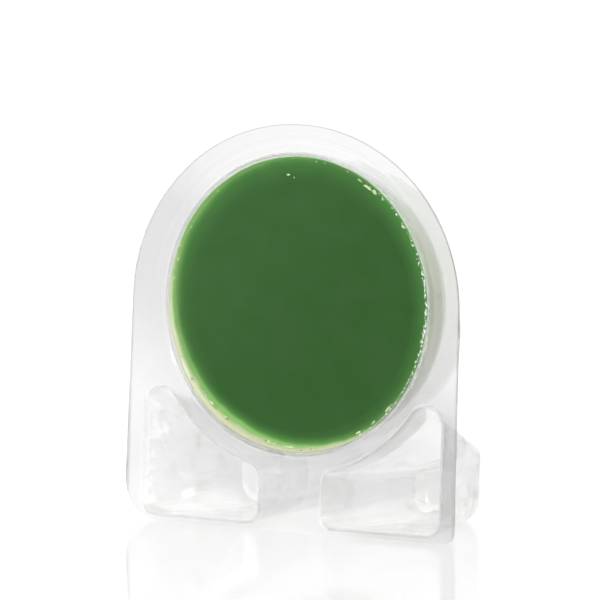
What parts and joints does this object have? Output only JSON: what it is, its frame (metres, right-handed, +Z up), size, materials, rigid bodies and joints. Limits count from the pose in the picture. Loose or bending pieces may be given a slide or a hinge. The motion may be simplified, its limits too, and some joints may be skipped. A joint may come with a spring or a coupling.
{
  "type": "shaving soap puck",
  "caption": "Round green glycerine shaving soap puck in a clear thermoformed tray that stands upright on hollow feet.",
  "frame": {"origin": "middle of the bounding box, on the surface the tray stands on", "axes": "+Z up, the soap's face towards -Y and leaning back 3.7 degrees, +X to the right as seen from the front"},
  "size_m": [0.0824, 0.0364, 0.0886],
  "materials": {
    "clear_sheet": "water-clear thermoformed PET sheet, glossy, with shallow creases in the feet",
    "green_soap": "translucent green glycerine soap, satin poured face with a brighter rim"
  },
  "bodies": {
    "tray": {"clear_tray": "clear_sheet"},
    "puck": {"soap_puck": "green_soap"}
  },
  "joints": [
    {"name": "puck_push_out", "type": "slide", "parent": "tray", "child": "puck", "axis": [0, -0.9979, 0.0645], "range_m": [0, 0.045]}
  ]
}
